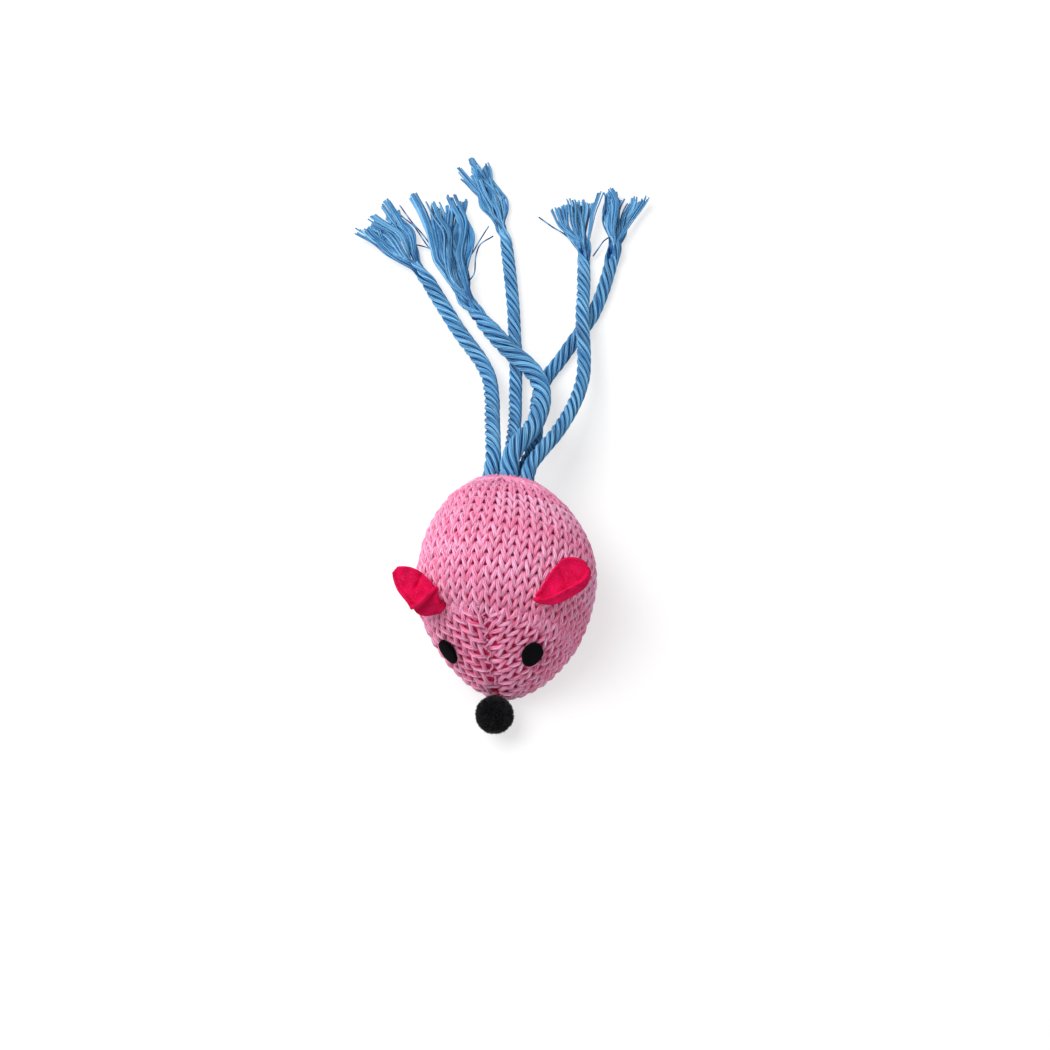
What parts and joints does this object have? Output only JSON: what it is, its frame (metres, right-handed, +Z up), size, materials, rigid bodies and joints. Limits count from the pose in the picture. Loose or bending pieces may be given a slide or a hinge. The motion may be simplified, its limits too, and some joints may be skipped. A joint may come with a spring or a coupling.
{
  "type": "catnip mouse toy",
  "caption": "Stuffed knitted mouse toy for cats with cupped felt ears, felt eyes, a pom-pom nose and a tail of loose twisted ropes with frayed ends, around a catnip sachet.",
  "frame": {"origin": "on the flat under the belly, below the widest section of the body, on the surface that the toy lies on", "axes": "+Z up, +Y along the body towards the tail, snout towards -Y, +X to the left when looking from the tail towards the snout"},
  "size_m": [0.1149, 0.2156, 0.053],
  "materials": {
    "knit": "knitted acrylic yarn, matt",
    "lining": "woven lining cloth, matt",
    "fibre": "polyester fibre filling",
    "muslin": "plain cotton muslin",
    "leaf": "dried crushed leaf",
    "rope_cotton": "dyed twisted cotton rope, matt",
    "pink_felt": "pressed felt, matt",
    "black_felt": "pressed felt, matt",
    "black_pompom": "cut pile pom-pom, matt",
    "pink_thread": "sewing thread"
  },
  "bodies": {
    "mouse": {"knit_cover": "knit", "lining_bag": "lining", "fibre_filling": "fibre", "catnip_sachet": "muslin", "catnip_leaf": "leaf", "tail_binding": "pink_thread", "gather_thread": "pink_thread", "face_seam": "pink_thread", "brow_seam": "pink_thread", "eye_left": "black_felt", "eye_right": "black_felt", "nose_pompom": "black_pompom", "tail_end_1": "rope_cotton", "tail_end_2": "rope_cotton", "tail_end_3": "rope_cotton", "tail_end_4": "rope_cotton", "tail_end_5": "rope_cotton"},
    "ear_left": {"ear_left": "pink_felt"},
    "ear_right": {"ear_right": "pink_felt"},
    "rope_1": {"tail_rope_1": "rope_cotton", "tail_fray_1": "rope_cotton"},
    "rope_2": {"tail_rope_2": "rope_cotton", "tail_fray_2": "rope_cotton"},
    "rope_3": {"tail_rope_3": "rope_cotton", "tail_fray_3": "rope_cotton"},
    "rope_4": {"tail_rope_4": "rope_cotton", "tail_fray_4": "rope_cotton"},
    "rope_5": {"tail_rope_5": "rope_cotton", "tail_fray_5": "rope_cotton"}
  },
  "joints": [
    {"name": "ear_left_fold", "type": "hinge", "parent": "mouse", "child": "ear_left", "pos_m": [-0.0138, -0.0184, 0.04121], "axis": [0.5907, 0.7668, 0.251], "range_deg": [-5, 35], "stiffness_Nm_per_rad": 0.0006},
    {"name": "ear_right_fold", "type": "hinge", "parent": "mouse", "child": "ear_right", "pos_m": [0.01626, -0.01327, 0.04429], "axis": [0.5907, -0.7668, -0.251], "range_deg": [-10, 35], "stiffness_Nm_per_rad": 0.0006},
    {"name": "rope_1_swing", "type": "hinge", "parent": "mouse", "child": "rope_1", "pos_m": [-0.00995, 0.03411, 0.02879], "axis": [0, 0, 1], "range_deg": [0, 40]},
    {"name": "rope_2_lift", "type": "hinge", "parent": "mouse", "child": "rope_2", "pos_m": [-0.00364, 0.03411, 0.02959], "axis": [1, 0, 0], "range_deg": [0, 45]},
    {"name": "rope_3_swing", "type": "hinge", "parent": "mouse", "child": "rope_3", "pos_m": [-0.00645, 0.03411, 0.02399], "axis": [0, 0, -1], "range_deg": [-3, 4]},
    {"name": "rope_4_lift", "type": "hinge", "parent": "mouse", "child": "rope_4", "pos_m": [0.00235, 0.03411, 0.02859], "axis": [1, 0, 0], "range_deg": [0, 40]},
    {"name": "rope_5_swing", "type": "hinge", "parent": "mouse", "child": "rope_5", "pos_m": [-0.00085, 0.03411, 0.02399], "axis": [0, 0, -1], "range_deg": [0, 15]}
  ]
}
